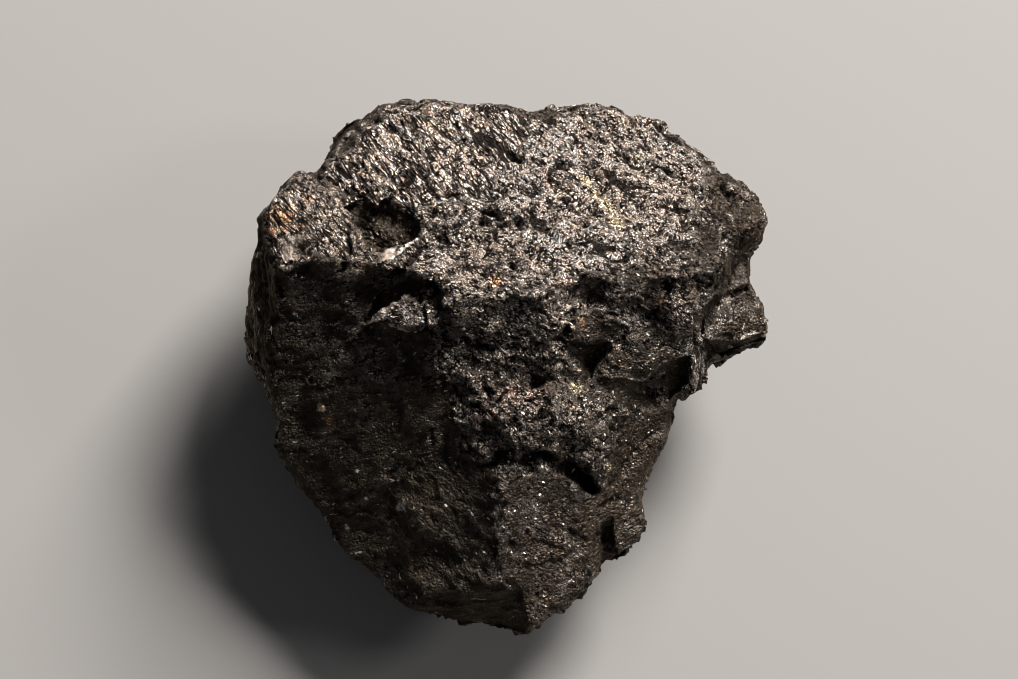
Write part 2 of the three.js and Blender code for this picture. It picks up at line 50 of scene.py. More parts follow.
# Zones of like grain. at: middle; facing: rough normal; streak: the grain's direction in plan;
# grain: its length and width; relief: its height; crack: depth of the cracks along it; gap:
# distance between cracks; frost_and_shade: how far etching has paled it, from 0 to 1, and painted
# light and shade as well, high on the faces turned to the key light and low on those turned away.
ZONES = [
    # the lobe at the upper left
    dict(at=(-31, 22, 28), facing=(-0.2, 0.6, 0.8), streak=-57, grain=(1.2, 0.60),
         relief=0.20, crack=0.45, gap=2.2, frost_and_shade=0.58),
    # the upper face, left
    dict(at=(-19, 30, 28), facing=(-0.2, 0.6, 0.8), streak=-57, grain=(1.7, 0.68),
         relief=0.18, crack=0.50, gap=2.2, frost_and_shade=0.95),
    # the upper face, middle
    dict(at=(-6, 31, 30), facing=(0, 0.6, 0.8), streak=-60, grain=(1.5, 0.66),
         relief=0.19, crack=0.45, gap=2.2, frost_and_shade=0.95),
    # the upper face, right of its middle
    dict(at=(7, 27, 31), facing=(0, 0.6, 0.8), streak=-42, grain=(0.90, 0.62),
         relief=0.28, crack=0.35, gap=3.2, frost_and_shade=0.92),
    # the upper face, right
    dict(at=(22, 27, 28), facing=(0.2, 0.6, 0.8), streak=-42, grain=(0.85, 0.60),
         relief=0.26, crack=0.35, gap=3.2, frost_and_shade=0.80),
    # the right-hand knob
    dict(at=(36, 22, 27), facing=(0.3, 0.5, 0.8), streak=-38, grain=(0.95, 0.64),
         relief=0.26, crack=0.40, gap=3.0, frost_and_shade=0.10),
    # above the middle block
    dict(at=(-6, 18, 37), facing=(0, 0.6, 0.8), streak=-34, grain=(0.95, 0.62),
         relief=0.28, crack=0.40, gap=3.0, frost_and_shade=0.72),
    # the ridge
    dict(at=(10, 17, 37), facing=(0, 0.6, 0.8), streak=-38, grain=(0.85, 0.60),
         relief=0.28, crack=0.40, gap=3.0, frost_and_shade=0.95),
    # the slope right of the valley
    dict(at=(22, 9, 33), facing=(0.2, -0.3, 0.9), streak=-40, grain=(0.90, 0.60),
         relief=0.20, crack=0.35, gap=3.0, frost_and_shade=0.23),
    # the calm slope below it
    dict(at=(21, 1, 31), facing=(0.2, -0.4, 0.9), streak=-30, grain=(0.80, 0.56),
         relief=0.15, crack=0.20, gap=4.0, frost_and_shade=0.19),
    # the middle block
    dict(at=(0, 6, 36), facing=(0, -0.6, 0.8), streak=-45, grain=(1.0, 0.66),
         relief=0.28, crack=0.40, gap=2.4, frost_and_shade=0.42),
    # the brow
    dict(at=(5, -8, 34), facing=(0, -0.4, 0.9), streak=-44, grain=(0.95, 0.62),
         relief=0.26, crack=0.30, gap=2.8, frost_and_shade=0.28),
    # the brow, right
    dict(at=(14, -12, 29), facing=(0.4, -0.3, 0.8), streak=-40, grain=(0.90, 0.62),
         relief=0.24, crack=0.28, gap=3.0, frost_and_shade=0.22),
    # the lower right face
    dict(at=(6, -27, 21), facing=(0.4, -0.2, 0.9), streak=-40, grain=(0.75, 0.60),
         relief=0.16, crack=0.16, gap=4.0, frost_and_shade=0.09),
    # the strip beside it
    dict(at=(21, -14, 22), facing=(0.6, -0.2, 0.8), streak=-40, grain=(0.85, 0.60),
         relief=0.14, crack=0.16, gap=4.5, frost_and_shade=0.035),
    # the corner block
    dict(at=(19, -24, 20), facing=(0.6, -0.2, 0.8), streak=20, grain=(1.3, 0.62),
         relief=0.14, crack=0.22, gap=3.0, frost_and_shade=0.04),
    # the lower left face, top
    dict(at=(-22, 6, 30), facing=(-0.4, -0.4, 0.8), streak=24, grain=(1.2, 0.65),
         relief=0.18, crack=0.20, gap=4.0, frost_and_shade=0.06),
    # the lower left face
    dict(at=(-20, -10, 25), facing=(-0.4, -0.4, 0.8), streak=22, grain=(1.4, 0.65),
         relief=0.14, crack=0.14, gap=5.0, frost_and_shade=0.025),
    # the lump at its foot
    dict(at=(-12, -24, 22), facing=(-0.3, -0.4, 0.8), streak=-50, grain=(1.3, 0.65),
         relief=0.15, crack=0.20, gap=3.0, frost_and_shade=0.02),
    # its lower left
    dict(at=(-24, -22, 17), facing=(-0.4, -0.4, 0.8), streak=26, grain=(1.5, 0.65),
         relief=0.13, crack=0.14, gap=5.0, frost_and_shade=0.012),
    # the foot
    dict(at=(-4, -37, 15), facing=(0, -0.8, 0.5), streak=16, grain=(2.4, 0.80),
         relief=0.12, crack=0.12, gap=5.0, frost_and_shade=0.004),
    # the left side
    dict(at=(-38, 6, 20), facing=(-0.9, 0, 0.4), streak=90, grain=(5.0, 0.80),
         relief=0.20, crack=0.40, gap=2.0, frost_and_shade=0.015),
    # the block that stands out to the right
    dict(at=(35, 7, 22), facing=(0.2, -0.2, 1.0), streak=78, grain=(1.6, 0.80),
         relief=0.20, crack=0.30, gap=2.4, frost_and_shade=0.30),
    # the striated facet above it
    dict(at=(36, 14, 22), facing=(0.5, -0.2, 0.8), streak=88, grain=(4.0, 0.80),
         relief=0.19, crack=0.35, gap=1.2, frost_and_shade=0.03),
    # the small block below it
    dict(at=(29, -1, 23), facing=(0.5, -0.2, 0.8), streak=-60, grain=(1.5, 0.75),
         relief=0.20, crack=0.35, gap=2.4, frost_and_shade=0.30),
    # the striated shoulder at the upper left
    dict(at=(-25, 34, 19), facing=(-0.3, 0.3, 0.9), streak=28, grain=(4.0, 0.70),
         relief=0.22, crack=0.30, gap=1.8, frost_and_shade=0.05),
]
ZONE_VALUES = ("relief", "crack", "gap", "grain", "frost_and_shade")
BLENDED = ("relief", "frost_and_shade")  # those whose values blend from zone to zone

# Zones of the unseen sides, spaced evenly round them, and as many round the broken back. Their
# streaks turn from one zone to the next.
SIDE_ZONES = 8
SIDE = dict(grain=(1.8, 0.8), relief=0.32, crack=0.40, gap=2.6, frost_and_shade=0.24)
SIDE_RADIUS, SIDE_HEIGHT = 36, 13
SIDE_STREAK, SIDE_STREAK_TURN = 65, 40
BACK = dict(grain=(2.4, 1.1), relief=0.34, crack=0.45, gap=4.0, frost_and_shade=0.26)
BACK_RADIUS, BACK_HEIGHT = 28, 5
BACK_LEAN, BACK_FACING_DOWN = 0.6, -0.8
BACK_STREAK_TURN = 70

# A point belongs to the zone that costs it least: 1 for each ZONE_REACH between them, and
# FACING_COST for a right angle between their normals. Noise makes the borders ragged.
ZONE_REACH = 9.0
FACING_COST = 1.6
ZONE_RAGGED = 0.35
ZONE_WAVE = 3.0

# The etched relief. Blocks of two sizes are tilted and stepped, with seams between them. Their
# scale is in blocks for each grain, and height, tilt and step are shares of the zone's relief.
SMALL_BLOCKS = dict(scale=0.62, shift=0, tilt=0.9, step=0.9, seam=0.20)
LARGE_BLOCKS = dict(scale=0.24, shift=7, tilt=1.1, step=1.0, seam=0.10)
SMALL_HEIGHT, LARGE_HEIGHT = 1.1, 1.9
FINE_SCALE, FINE_HEIGHT = 1.2, 0.4
GRAIN_BEND = 0.45  # how far the grain wanders from its streak
GRAIN_DEPTH = 1.6  # how deep a grain goes into the surface, in its widths
TYPICAL_RELIEF = 0.25  # the relief that waves and the material's coarseness are measured against
SHORT_WAVE, SHORT_WAVE_HEIGHT = 2.2, 0.22
LONG_WAVE, LONG_WAVE_HEIGHT = 5.0, 0.40
SEAM_WAVE, OPEN_SEAMS = 1.8, (-0.20, 0.30)  # where noise opens the seams of the blocks
UNBROKEN = (-0.25, 0.35)  # where noise lets a crack run
CRACK_RANGE = (0.05, 0.30)  # from the bottom of a crack to its edge
# The black that a zone's cracks turn is painted shade.
CRACK_SHOWS = (0.05, 0.35)  # depths over which a zone's cracks turn black

# Crisp facets on the faces that look up. Each one is the plane that fits the surface inside its
# outline, sloped further by rise, the height for each millimetre along X and Y, and raised by lift.
# flat: how much of the surface the plane takes over; pit: it only cuts down; smooth: how far the
# material's grain is gone; frost_and_shade: its own, in place of the zone's, frost and painted light
# and shade alike; calm: how much of the relief is held back, the same as flat where it isn't given.
FACETS = [
    dict(  # the lobe at the upper left
        outline=[(-36.2, 19.2), (-34.2, 16.2), (-31.0, 15.5), (-24.5, 14.7), (-21.8, 16.0),
                 (-22.6, 22.0), (-27.0, 27.4), (-33.5, 26.4), (-36.6, 22.8)],
        lift=0.4, rise=(0, 0), flat=0.45,
    ),
    dict(  # its smooth cleavage
        outline=[(-33.3, 18.9), (-29.8, 19.5), (-29.2, 16.5), (-32.9, 15.6)],
        lift=0.5, rise=(0.1, 0.1), flat=0.9, smooth=0.85, frost_and_shade=0.35,
    ),
    dict(  # the dark striated shoulder above it
        outline=[(-27.6, 29.8), (-26.4, 35.8), (-23.5, 37.4), (-21.4, 37.0), (-25.6, 30.8)],
        lift=-1.2, rise=(0.2, 0), flat=0.8, smooth=0.5, frost_and_shade=0.03,
    ),
    dict(  # the floor of the large pit, which slopes down to its rim
        outline=[(-23.5, 23.6), (-21.8, 24.5), (-20.5, 23.8), (-18.9, 24.7), (-17.1, 24.1),
                 (-15.6, 22.9), (-14.1, 22.4), (-12.3, 20.9), (-13.0, 18.9), (-14.7, 17.6),
                 (-18.3, 16.5), (-19.5, 17.9), (-20.8, 17.4), (-21.1, 19.5), (-22.4, 20.8),
                 (-22.0, 22.1)],
        # its low frost_and_shade paints shade on the pit's floor
        lift=-1.5, rise=(0.30, 0.85), flat=1.0, calm=0.1, frost_and_shade=0.015, pit=True,
    ),
    dict(  # the striated slab at its head
        outline=[(-21.4, 24.8), (-17.2, 28.4), (-15.0, 26.6), (-19.2, 23.4)],
        lift=1.0, rise=(0.2, -0.3), flat=0.8, frost_and_shade=0.9,
    ),
    dict(  # the rim of the large pit
        outline=[(-18.2, 14.7), (-12.9, 18.6), (-11.7, 17.4), (-16.7, 13.5)],
        lift=-0.2, rise=(0.2, -0.2), flat=0.9, frost_and_shade=0.6,
    ),
    dict(  # the bright facet on that rim
        outline=[(-18.0, 17.1), (-16.2, 17.6), (-16.0, 15.8), (-17.9, 15.4)],
        # its high frost_and_shade paints a highlight on this facet
        lift=-1.2, rise=(0, -0.3), flat=1.0, smooth=0.9, frost_and_shade=0.9,
    ),
    dict(  # the notch that trims the ledge to a straight edge
        outline=[(-21.2, 6.2), (-18.9, 6.4), (-13.2, 10.9), (-12.2, 12.0), (-14.7, 12.4),
                 (-18.6, 10.4)],
        lift=-1.6, rise=(0, 0), flat=1.0, smooth=0.4, frost_and_shade=0.01, pit=True,
    ),
    dict(  # a slab near the head
        outline=[(-11.1, 27.1), (-6.8, 27.7), (-6.3, 25.6), (-10.5, 25.1)],
        lift=0.6, rise=(0, -0.1), flat=0.7,
    ),
    dict(  # the ledge left of the valley
        outline=[(-21.7, 5.5), (-18.2, 8.0), (-14.1, 10.2), (-11.7, 9.4), (-9.1, 7.6), (-9.8, 6.1),
                 (-14.4, 5.6), (-17.4, 6.5)],
        lift=1.2, rise=(0, -0.35), flat=0.9, frost_and_shade=0.55,
    ),
    dict(  # the top of the middle block, ending in a zig-zag edge
        outline=[(-9.1, 11.4), (-7.1, 9.8), (-5.3, 10.9), (-0.8, 9.8), (0.5, 10.6), (3.8, 9.6),
                 (6.1, 12.1), (2.3, 15.6), (-3.8, 16.2), (-7.6, 14.7)],
        lift=0.7, rise=(0, 0.1), flat=0.85, frost_and_shade=0.5,
    ),
    dict(  # its front
        outline=[(-7.1, 9.5), (-5.3, 10.6), (-0.8, 9.5), (0.8, 10.2), (3.0, 5.3), (-0.8, 3.0),
                 (-5.3, 3.8), (-8.3, 6.8)],
        lift=0.1, rise=(0, 0), flat=0.7,
    ),
    dict(  # the three-cornered pit
        outline=[(9.4, 3.6), (15.0, 3.2), (12.9, -2.0)],
        lift=-0.9, rise=(0, 0), flat=0.8, frost_and_shade=0.03,
    ),
    dict(  # the smooth facet under the right-hand knob
        outline=[(33.8, 16.4), (37.6, 16.8), (37.8, 11.4), (33.4, 10.2)],
        lift=-0.5, rise=(0, 0), flat=0.95, smooth=0.5, frost_and_shade=0.06,
    ),
    dict(  # the block that stands out to the right
        outline=[(29.0, 7.2), (32.9, 9.9), (37.6, 11.6), (39.4, 9.1), (40.8, 6.1), (41.0, 4.2),
                 (37.4, 4.8), (34.8, 3.6), (33.4, 4.6), (29.2, 3.8)],
        lift=1.4, rise=(0, -0.05), flat=1.0, smooth=0.15, frost_and_shade=0.09,
    ),
    dict(  # its underside
        outline=[(29.8, 4.2), (34.8, 3.6), (37.4, 4.8), (40.4, 4.2), (39.4, 2.4), (34.2, 1.2),
                 (30.6, 1.8)],
        lift=-1.2, rise=(0, 0.9), flat=0.9, smooth=0.6, frost_and_shade=0.0,
    ),
    dict(  # the small block below it
        outline=[(28.0, 2.0), (30.5, 2.4), (31.0, -1.1), (28.9, -2.9), (27.7, -1.1)],
        lift=0.8, rise=(0, 0), flat=0.9, frost_and_shade=0.5,
    ),
    dict(  # the dark facet beside that
        outline=[(23.8, 0.5), (27.6, 2.0), (27.3, -2.6), (24.7, -5.0)],
        lift=-0.8, rise=(0, 0.2), flat=0.8, frost_and_shade=0.03,
    ),
    dict(  # the lower right face
        outline=[(5.3, -15.2), (1.5, -17.6), (0, -20.5), (-1.2, -25.0), (-1.2, -29.5), (0, -31.8),
                 (2.3, -33.3), (2.6, -35.6), (3.3, -40.0), (9.0, -37.4), (14.0, -31.5),
                 (14.6, -26.0), (14.2, -19.9), (11.2, -17.2)],
        lift=0.5, rise=(0, 0), flat=0.5,
    ),
    dict(  # the corner block
        outline=[(16.5, -19.2), (20.5, -18.6), (21.6, -21.2), (21.6, -26.2), (17.1, -28.9),
                 (16.2, -25.0)],
        lift=0.3, rise=(0, 0), flat=0.7,
    ),
    dict(  # its underside
        outline=[(16.6, -29.2), (21.6, -26.6), (21.0, -28.8), (15.4, -31.6)],
        lift=-1.4, rise=(0, 0.3), flat=0.8, smooth=0.6, frost_and_shade=0.0,
    ),
]
FACET_EDGE = 0.45  # width over which a facet blends in at its outline
FACET_CALM = 0.65  # how much less relief a facet has where it is fully calm
FACET_RAGGED = dict(reach=0.12, wave=0.9)  # how far the outlines wander, and in what waves
FACET_FACING = (0.05, 0.35)  # upward shares of a normal over which a facet grows to its full share

# Edges that stand up along a path. pale: how pale they are, from 0 to 1, worn and partly a painted
# highlight along the edge.
EDGES = [
    # the striated shoulder
    dict(path=[(-26.6, 30.8), (-23.8, 34.4), (-20.6, 37.6)], width=0.45, height=0.4, pale=0.4),
    # the rim of the large pit, and the ledge
    dict(path=[(-18.2, 14.7), (-15.4, 16.6), (-12.9, 18.6)], width=0.40, height=0.5, pale=0.9),
    dict(path=[(-19.6, 7.0), (-18.4, 7.8), (-14.1, 10.2)], width=0.40, height=0.5, pale=0.9),
    dict(path=[(-17.4, 6.2), (-14.4, 5.5), (-9.8, 6.0)], width=0.40, height=0.3, pale=0.8),
    # the middle block: its zig-zag edge, its top and its front
    dict(
        path=[(-7.1, 9.8), (-5.3, 10.9), (-0.8, 9.8), (0.5, 10.6)],
        width=0.40, height=0.6, pale=1.0,
    ),
    dict(path=[(-9.1, 11.4), (-7.6, 12.4), (-4.5, 12.9)], width=0.35, height=0.4, pale=0.6),
    dict(path=[(-0.2, 14.6), (3.6, 12.4), (6.2, 12.2)], width=0.35, height=0.3, pale=0.5),
    dict(path=[(-3.0, 5.6), (-0.6, 3.6), (2.2, 3.4)], width=0.35, height=0.3, pale=0.5),
    # right of the brow
    dict(
        path=[(14.4, -1.5), (20.5, -2.0), (23.5, 0.5), (28.0, 3.0)],
        width=0.40, height=0.3, pale=0.5,
    ),
    # the block that stands out to the right, and the facet above it
    dict(
        path=[(29.5, 4.4), (34.8, 3.8), (37.4, 5.0), (39.8, 4.4)],
        width=0.45, height=0.4, pale=0.9,
    ),
    dict(path=[(33.8, 16.6), (37.4, 17.0)], width=0.45, height=0.3, pale=0.6),
    # the top of the brow, and the slope above it
    dict(
        path=[(-3.8, -5.8), (-0.8, -4.6), (6.1, -4.5), (10.6, -3.2)],
        width=0.45, height=0.3, pale=0.35,
    ),
    dict(path=[(11.4, 7.8), (14.0, 8.6), (17.2, 7.6)], width=0.35, height=0.3, pale=0.6),
]

# Lines and small pits cut into the faces that look up, with their depth below zero as height.
LINES = [
    # down the upper face, along its grain
    dict(path=[(-26.0, 31.5), (-22.4, 26.0), (-19.6, 22.6)], width=0.7, height=-0.7),
    dict(path=[(-22.5, 35.8), (-18.6, 30.0), (-15.0, 26.2)], width=0.6, height=-0.6),
    dict(path=[(-17.6, 36.6), (-13.6, 31.4), (-11.8, 27.0)], width=0.6, height=-0.6),
    # on the slab at the head of the large pit
    dict(path=[(-20.6, 24.4), (-16.8, 27.6)], width=0.35, height=-0.5),
    dict(path=[(-20.0, 23.6), (-16.0, 26.8)], width=0.35, height=-0.5),
    # on the lobe
    dict(path=[(-35.8, 19.8), (-33.6, 16.4)], width=0.6, height=-0.6),
    dict(path=[(-33.2, 19.4), (-30.6, 16.0)], width=0.4, height=-0.35),
    dict(path=[(-32.2, 19.8), (-29.8, 16.4)], width=0.4, height=-0.30),
    # above the slab near the head
    dict(path=[(-12.0, 29.0), (-7.0, 29.6)], width=0.6, height=-0.6),
    # round the block that stands out to the right, and above it
    dict(path=[(28.4, 2.6), (28.6, 7.4), (32.8, 10.2), (37.4, 12.0)], width=0.6, height=-1.2),
    dict(path=[(33.8, 16.4), (33.4, 10.2)], width=0.6, height=-0.7),
    dict(path=[(35.6, 11.4), (34.0, 8.6)], width=0.5, height=-0.5),
    # at the end of the ledge
    dict(path=[(-12.4, 10.4), (-11.6, 5.6)], width=0.5, height=-1.0),
    # across the lobe
    dict(path=[(-32.4, 14.6), (-30.2, 17.4), (-27.2, 19.4)], width=0.6, height=-0.9),
    dict(path=[(-24.4, 14.0), (-23.0, 16.8), (-23.6, 19.6)], width=0.7, height=-1.0),
    # under the brow
    dict(
        path=[(-3.6, -15.4), (-0.4, -14.0), (2.6, -14.8), (5.4, -13.9), (8.3, -15.2),
              (10.6, -15.6)],
        width=1.6, height=-1.1,
    ),
    dict(path=[(9.8, -16.0), (12.4, -17.6), (13.4, -18.8)], width=1.1, height=-0.9),
    # under the rim of the large pit
    dict(path=[(-11.8, 18.0), (-14.2, 15.6), (-16.2, 13.2)], width=1.1, height=-1.6),
    # on the lower left face
    dict(path=[(-15.6, -4.4), (-15.9, -9.4)], width=0.6, height=-0.3),
    dict(path=[(-10.9, -9.6), (-10.9, -11.6)], width=0.6, height=-0.3),
    dict(path=[(-8.8, -9.6), (-8.9, -14.6)], width=0.6, height=-0.3),
    dict(path=[(-6.5, -10.4), (-6.5, -13.0)], width=0.5, height=-0.3),
    # between the lower right face and the corner block
    dict(path=[(16.4, -19.6), (18.4, -14.6), (21.6, -11.0), (23.6, -10.0)], width=0.6, height=-0.5),
    dict(path=[(14.4, -21.6), (17.0, -20.0), (19.0, -21.0)], width=0.6, height=-0.4),
    # across the lower right face
    dict(path=[(9.4, -24.8), (12.4, -26.4)], width=0.5, height=-0.5),
    dict(path=[(4.4, -26.4), (8.6, -27.8)], width=0.5, height=-0.4),
    dict(path=[(3.0, -30.4), (9.0, -29.4)], width=0.5, height=-0.4),
]
PATCHES = [
    dict(at=(1.4, 31.0), radii=(2.0, 0.9), turn=-40, height=-1.0),
    dict(at=(-3.0, 21.2), radii=(1.6, 0.7), turn=-20, height=-0.9),
    dict(at=(2.6, 20.8), radii=(1.8, 0.8), turn=-15, height=-0.9),
    dict(at=(11.2, 21.2), radii=(1.6, 0.7), turn=-20, height=-0.9),
    dict(at=(19.0, 36.0), radii=(1.1, 0.6), turn=-30, height=-0.9),
    dict(at=(24.0, 32.8), radii=(1.4, 0.7), turn=-40, height=-1.0),
    dict(at=(33.4, 25.8), radii=(1.8, 0.6), turn=-35, height=-0.9),
    dict(at=(1.0, 14.6), radii=(0.9, 0.8), turn=0, height=-1.0),
    dict(at=(-17.9, 24.2), radii=(0.8, 0.7), turn=0, height=-1.0),
    dict(at=(-2.4, 2.6), radii=(1.6, 0.8), turn=0, height=-0.9),
    dict(at=(5.0, -2.4), radii=(1.8, 0.9), turn=0, height=-0.8),
    dict(at=(3.4, 27.8), radii=(1.0, 0.6), turn=-40, height=-0.7),
    dict(at=(-26.0, 29.8), radii=(0.9, 0.5), turn=-50, height=-0.7),
    dict(at=(0.9, -26.8), radii=(0.8, 1.2), turn=0, height=-0.6),
    dict(at=(12.6, -18.2), radii=(1.6, 0.9), turn=-40, height=-0.8),
]
PATCH_EDGE = (0.2, 1)  # from the flat middle of a pit to its edge, in its radii
MARK_RAGGED = dict(reach=0.25, wave=1.6)
MARK_FACING = (0.05, 0.25)

# Seeds of the noise. Those of the bend, the facets and the marks each also use the next one or two.
SEEDS = dict(
    zones=11, bend=21, small_blocks=31, large_blocks=32, fine=33, seams=34, cracks=41, unbroken=42,
    long_wave=51, short_wave=52, marks=61, facets=71,
)
LATTICE = 256  # cells after which noise repeats
NOISE_GAIN = 1.6  # brings gradient noise to about -1 to 1

# The finish. Noises are in waves for each metre.
DARK = (0.018, 0.0135, 0.0095)
DARK_WARM = (0.034, 0.025, 0.017)
# GRIT_SHADE is painted shade, laid where the fine grit bump is low.
GRIT_SHADE = (0.010, 0.007, 0.005)
# HOLLOW_SHADE is painted shade, the black laid in gaps, cracks, holes and pits.
HOLLOW_SHADE = (0.003, 0.002, 0.002)
PALE = (0.345, 0.312, 0.282)
WARM = (0.315, 0.245, 0.195)
PINKISH = (0.400, 0.280, 0.235)
BLUISH = (0.220, 0.260, 0.310)
BROWNISH = (0.260, 0.165, 0.110)
SPARKLE = (0.45, 0.43, 0.40)
# WORN_GLINT is pale wear on the edges and partly a painted highlight along them.
WORN_GLINT = (0.42, 0.38, 0.34)
BROAD_NOISE, FROST_NOISE, FLECK_NOISE = 90.0, 260.0, 430.0
STAIN_NOISE, WORN_NOISE, GRIT_NOISE = 900.0, 1100.0, 2600.0
LARGE_GRAINS = dict(scale=1.0, dome=0.15, tilt=1.1, step=0.55, metric="MANHATTAN")
SMALL_GRAINS = dict(scale=2.3, dome=0.10, tilt=1.4, step=0.70, metric="CHEBYCHEV")
BUMP_DEPTH = 0.56
IOR = 2.37
REFLECTION = (1.0, 0.88, 0.76)

# Spots of other colour, placed in plan: mostly stains, and a few of painted light.
STAINS_AND_LIGHT = dict(
    rust=dict(
        tint=(0.34, 0.145, 0.042),
        spots=[
            dict(at=(-33.0, 22.2), radius=2.2, strength=0.95),
            dict(at=(-34.6, 20.2), radius=1.0, strength=0.8),
            dict(at=(-30.4, 20.6), radius=1.0, strength=0.6),
            dict(at=(-29.4, 24.8), radius=0.9, strength=0.6),
            dict(at=(-3.2, 32.3), radius=0.7, strength=0.8),
            dict(at=(-1.5, 12.6), radius=1.0, strength=1.0),
            dict(at=(29.8, -2.4), radius=0.6, strength=0.9),
            dict(at=(-26.2, -8.0), radius=0.8, strength=0.5),
            dict(at=(-15.0, 27.4), radius=0.7, strength=0.6),
            dict(at=(11.0, 6.8), radius=1.2, strength=0.2),
            dict(at=(23.4, 9.4), radius=0.8, strength=0.3),
        ],
    ),
    cream=dict(
        tint=(0.62, 0.51, 0.32),
        spots=[
            # This pale spot is a painted highlight on the lobe's rust.
            dict(at=(-31.8, 23.4), radius=0.7, strength=0.5),
            dict(at=(12.3, 27.4), radius=1.3, strength=0.9),
            dict(at=(13.6, 25.6), radius=0.9, strength=0.9),
            dict(at=(14.8, 24.2), radius=1.1, strength=1.0),
            dict(at=(15.5, 22.7), radius=0.9, strength=1.0),
            dict(at=(16.3, 21.4), radius=1.3, strength=1.0),
            dict(at=(-37.4, 16.6), radius=0.7, strength=0.8),
            dict(at=(15.4, -15.3), radius=0.7, strength=0.6),
            dict(at=(-27.5, -6.3), radius=0.8, strength=1.0),
            dict(at=(10.6, -3.4), radius=0.9, strength=0.8),
        ],
    ),
    white=dict(
        tint=(0.60, 0.59, 0.57),
        spots=[
            dict(at=(-22.2, -15.8), radius=0.45, strength=0.9),
            dict(at=(-21.0, -20.0), radius=0.4, strength=0.8),
            dict(at=(-15.7, -21.2), radius=0.8, strength=0.7),
            dict(at=(-24.0, -24.6), radius=0.5, strength=0.6),
            dict(at=(17.8, -20.7), radius=0.45, strength=0.9),
            dict(at=(19.3, -20.6), radius=0.4, strength=0.9),
            dict(at=(27.2, 1.8), radius=0.45, strength=0.9),
            # This spot is a painted highlight, on the bright facet at the rim of the large pit.
            dict(at=(-16.4, 16.8), radius=0.6, strength=0.4),
        ],
    ),
    # Partly the stone's pink tone and partly painted light: paler patches where the brow's top is
    # lit.
    pink_and_lit=dict(
        tint=(0.37, 0.235, 0.20),
        spots=[
            dict(at=(0.6, -4.6), radius=2.6, strength=0.55),
            dict(at=(4.6, -4.4), radius=2.0, strength=0.55),
            dict(at=(-2.8, -6.8), radius=1.8, strength=0.55),
            dict(at=(9.6, 11.8), radius=2.2, strength=0.4),
        ],
    ),
)
STAIN_RAGGED = 2.2  # how far noise moves the edge of a spot, in its radii

# The studio. towards: from the row frame's origin to the light; distance and size in metres;
# power in watts.
LIGHTS = [
    dict(
        name="key", towards=(0.42, 0.75, 0.51), distance=1.40, size=0.50, power=113.0,
        colour=(1.0, 0.955, 0.90),
    ),
    dict(
        name="fill", towards=(0.85, 0.15, 0.50), distance=1.50, size=0.30, power=9.0,
        colour=(1.0, 0.97, 0.93),
    ),
]
WORLD_COLOUR, WORLD_STRENGTH = (0.80, 0.82, 0.86), 0.17
FLOOR_COLOUR = (0.172, 0.169, 0.166)
FLOOR_FLAT, FLOOR_BEND = 3.6, 0.6  # metres
FLOOR_SIDES, FLOOR_STEPS = 96, 8
FLOOR_RINGS = (0.02, 0.1, 0.3, 0.6, 1.0)  # shares of FLOOR_FLAT
LENS = 150.0
SENSOR = 36.0
FRAME_WIDTH = 154.2  # what the picture spans at the height of the specimen's rim
RIM_HEIGHT = 18.0
VIEW_CENTRE = (0.6, 3.9)
CLIP = (0.01, 20)  # metres
PIXEL_FILTER = 1.0  # width, in pixels, that keeps the fine grain crisp


def smoothstep(value, low, high):
    """0 below low, 1 above high, and a smooth step between them."""
    share = np.clip((value - low) / (high - low), 0, 1)
    return share * share * (3 - 2 * share)


def unit(vectors):
    return vectors / np.linalg.norm(vectors, axis=-1, keepdims=True)


def picked(order, cell):
    """A number below LATTICE for each cell, always the same one for the same cell."""
    at = cell % LATTICE
    return order[(order[(order[at[:, 0]] + at[:, 1]) % LATTICE] + at[:, 2]) % LATTICE]


def noise(points, seed):
    """Gradient noise at each point, about -1 to 1."""
    rng = np.random.default_rng(seed)
    order = rng.permutation(LATTICE)
    slopes = unit(rng.normal(size=(LATTICE, 3)))
    cell = np.floor(points).astype(np.int64)
    part = points - cell
    fade = part**3 * (part * (part * 6 - 15) + 10)
    total = np.zeros(len(points))
    for corner in np.ndindex(2, 2, 2):
        weight = np.prod(np.where(corner, fade, 1 - fade), axis=1)
        slope = slopes[picked(order, cell + corner)]
        total += weight * np.einsum("ij,ij->i", slope, part - corner)
    return total * NOISE_GAIN


def blocks(points, seed, scale, shift, tilt, step, seam):
    """A surface broken into tilted and stepped blocks, and how near a point is to their seams."""
    rng = np.random.default_rng(seed)
    order = rng.permutation(LATTICE)
    jitter, slope = rng.random((LATTICE, 3)), rng.uniform(-1, 1, (LATTICE, 3))
    level = rng.uniform(-0.5, 0.5, LATTICE)
    points = points * scale + shift
    cell = np.floor(points).astype(np.int64)
    first, second = np.full(len(points), np.inf), np.full(len(points), np.inf)
    top = np.zeros(len(points))
    for offset in np.ndindex(3, 3, 3):
        near = cell + offset - 1
        own = picked(order, near)
        out = points - near - jitter[own]
        distance = np.linalg.norm(out, axis=1)
        height = tilt * np.einsum("ij,ij->i", out, slope[own]) + step * level[own]
        closer = distance < first
        second = np.where(closer, first, np.minimum(second, distance))
        top = np.where(closer, height, top)
        first = np.where(closer, distance, first)
    return top, 1 - smoothstep(second - first, 0.0, seam)


def ragged_plan(points, seed, reach, wave):
    """The points in plan, wandering a little, so that what is drawn on them isn't ruled."""
    wander = [noise(points / wave, seed), noise(points / wave, seed + 1)]
    return points[:, :2] + reach * np.column_stack(wander)


def distance_to_path(plan, path):
    nearest = np.full(len(plan), np.inf)
    for start, end in zip(path, path[1:]):
        start, along = np.array(start), np.subtract(end, start)
        share = np.clip((plan - start) @ along / (along @ along), 0, 1)
        away = np.linalg.norm(plan - start - share[:, None] * along, axis=1)
        nearest = np.minimum(nearest, away)
    return nearest


